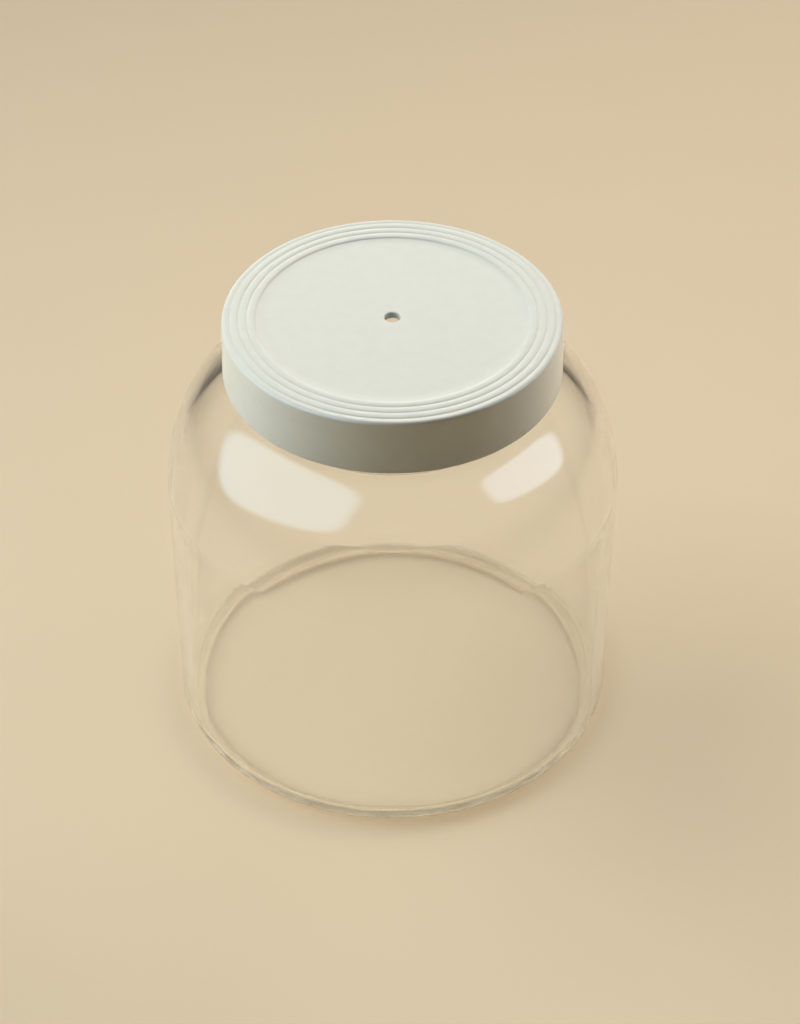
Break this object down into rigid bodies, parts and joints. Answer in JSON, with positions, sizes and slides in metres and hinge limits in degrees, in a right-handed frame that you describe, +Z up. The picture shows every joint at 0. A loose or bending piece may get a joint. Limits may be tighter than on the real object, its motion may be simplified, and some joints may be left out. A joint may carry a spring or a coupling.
{
  "type": "sourdough starter jar",
  "caption": "Wide round glass jar with a rounded shoulder, a stepped screw lid with a central vent hole and a flat sealing ring.",
  "frame": {"origin": "centre of the base, on the surface that the jar stands on", "axes": "+Z up along the jar's axis of revolution; +Y away from the picture's camera; the object is round, so X and Y are free"},
  "size_m": [0.1334, 0.1334, 0.1393],
  "materials": {
    "clear_glass": "clear, polished",
    "lid_plastic": "warm white, glossy",
    "silicone": "milky, satin"
  },
  "bodies": {
    "jar": {"glass_jar": "clear_glass"},
    "seal": {"seal_gasket": "silicone"},
    "lid": {"lid_cap": "lid_plastic"}
  },
  "joints": [
    {"name": "lid_lift", "type": "slide", "parent": "jar", "child": "seal", "axis": [0, 0, 1], "range_m": [0, 0.036]},
    {"name": "lid_turn", "type": "hinge", "parent": "seal", "child": "lid", "pos_m": [0, 0, 0.1388], "axis": [0, 0, 1], "range_deg": [0, 540]}
  ],
  "couplings": [
    {"joint": "lid_lift", "follows": "lid_turn", "m_per_rad": 0.0038197}
  ]
}
